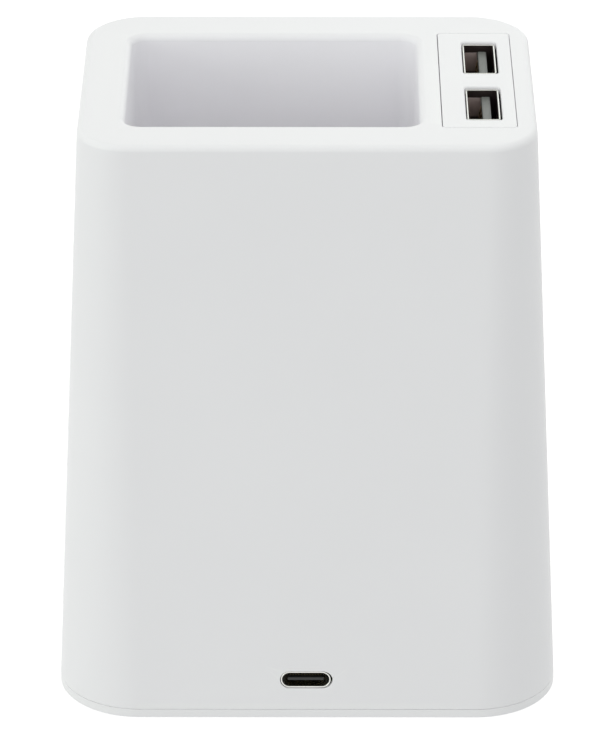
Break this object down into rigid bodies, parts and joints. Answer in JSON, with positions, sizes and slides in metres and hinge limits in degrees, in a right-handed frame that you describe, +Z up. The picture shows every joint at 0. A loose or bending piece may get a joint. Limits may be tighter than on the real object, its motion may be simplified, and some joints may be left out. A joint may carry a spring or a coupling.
{
  "type": "wireless charger pen holder",
  "caption": "Tapered white desk holder with an open pen well, a strip of upright sockets, an inlet low on the back, and a leaning charging face with a ledge for a phone.",
  "frame": {"origin": "on the surface that the feet stand on, under the middle of the footprint", "axes": "+Z up; -Y is the back with the power inlet; +Y is the front where a phone leans; the socket strip is towards +X"},
  "size_m": [0.09, 0.1138, 0.1128],
  "materials": {
    "body_white": "satin moulded ABS",
    "panel_white": "fine matt moulded ABS",
    "silicone": "matt",
    "screw_steel": "zinc plated",
    "socket_metal": "bright tin plated",
    "socket_grey": "moulded nylon",
    "black_nylon": "moulded",
    "contact_gold": "gold plated",
    "board_green": "solder mask",
    "ferrite": "sintered",
    "can_aluminium": "drawn",
    "tan_ceramic": "fired",
    "coil_copper": "enamelled copper",
    "lead_sleeve": "clear sleeve over copper",
    "lead_red": "satin",
    "lead_black": "satin"
  },
  "bodies": {
    "root": {"housing": "body_white", "base_plate": "body_white", "port_strip": "body_white", "phone_panel": "panel_white", "ledge_pad": "silicone", "foot_1": "silicone", "foot_2": "silicone", "foot_3": "silicone", "foot_4": "silicone", "base_screw_1": "screw_steel", "base_screw_2": "screw_steel", "base_screw_3": "screw_steel", "base_screw_4": "screw_steel", "board_screw_1": "screw_steel", "board_screw_2": "screw_steel", "port_board_screw_1": "screw_steel", "port_board_screw_2": "screw_steel", "holder_screw_1": "screw_steel", "holder_screw_2": "screw_steel", "usb_a_shell_1": "socket_metal", "usb_a_shell_2": "socket_metal", "usb_c_shell": "socket_metal", "usb_a_insulator_1": "socket_grey", "usb_a_insulator_2": "socket_grey", "usb_c_insulator": "black_nylon", "usb_a_contact_1_1": "contact_gold", "usb_a_contact_1_2": "contact_gold", "usb_a_contact_1_3": "contact_gold", "usb_a_contact_1_4": "contact_gold", "usb_a_contact_2_1": "contact_gold", "usb_a_contact_2_2": "contact_gold", "usb_a_contact_2_3": "contact_gold", "usb_a_contact_2_4": "contact_gold", "main_board": "board_green", "port_board": "board_green", "power_inductor": "ferrite", "ferrite_disc": "ferrite", "controller_chip": "black_nylon", "driver_chip": "black_nylon", "coil_holder": "black_nylon", "bulk_capacitor": "can_aluminium", "resonance_capacitor_1": "tan_ceramic", "resonance_capacitor_2": "tan_ceramic", "resonance_capacitor_3": "tan_ceramic", "resonance_capacitor_4": "tan_ceramic", "charging_coil": "coil_copper", "coil_lead_1": "lead_sleeve", "coil_lead_2": "lead_sleeve", "port_lead_1": "lead_red", "port_lead_2": "lead_black"}
  },
  "joints": []
}
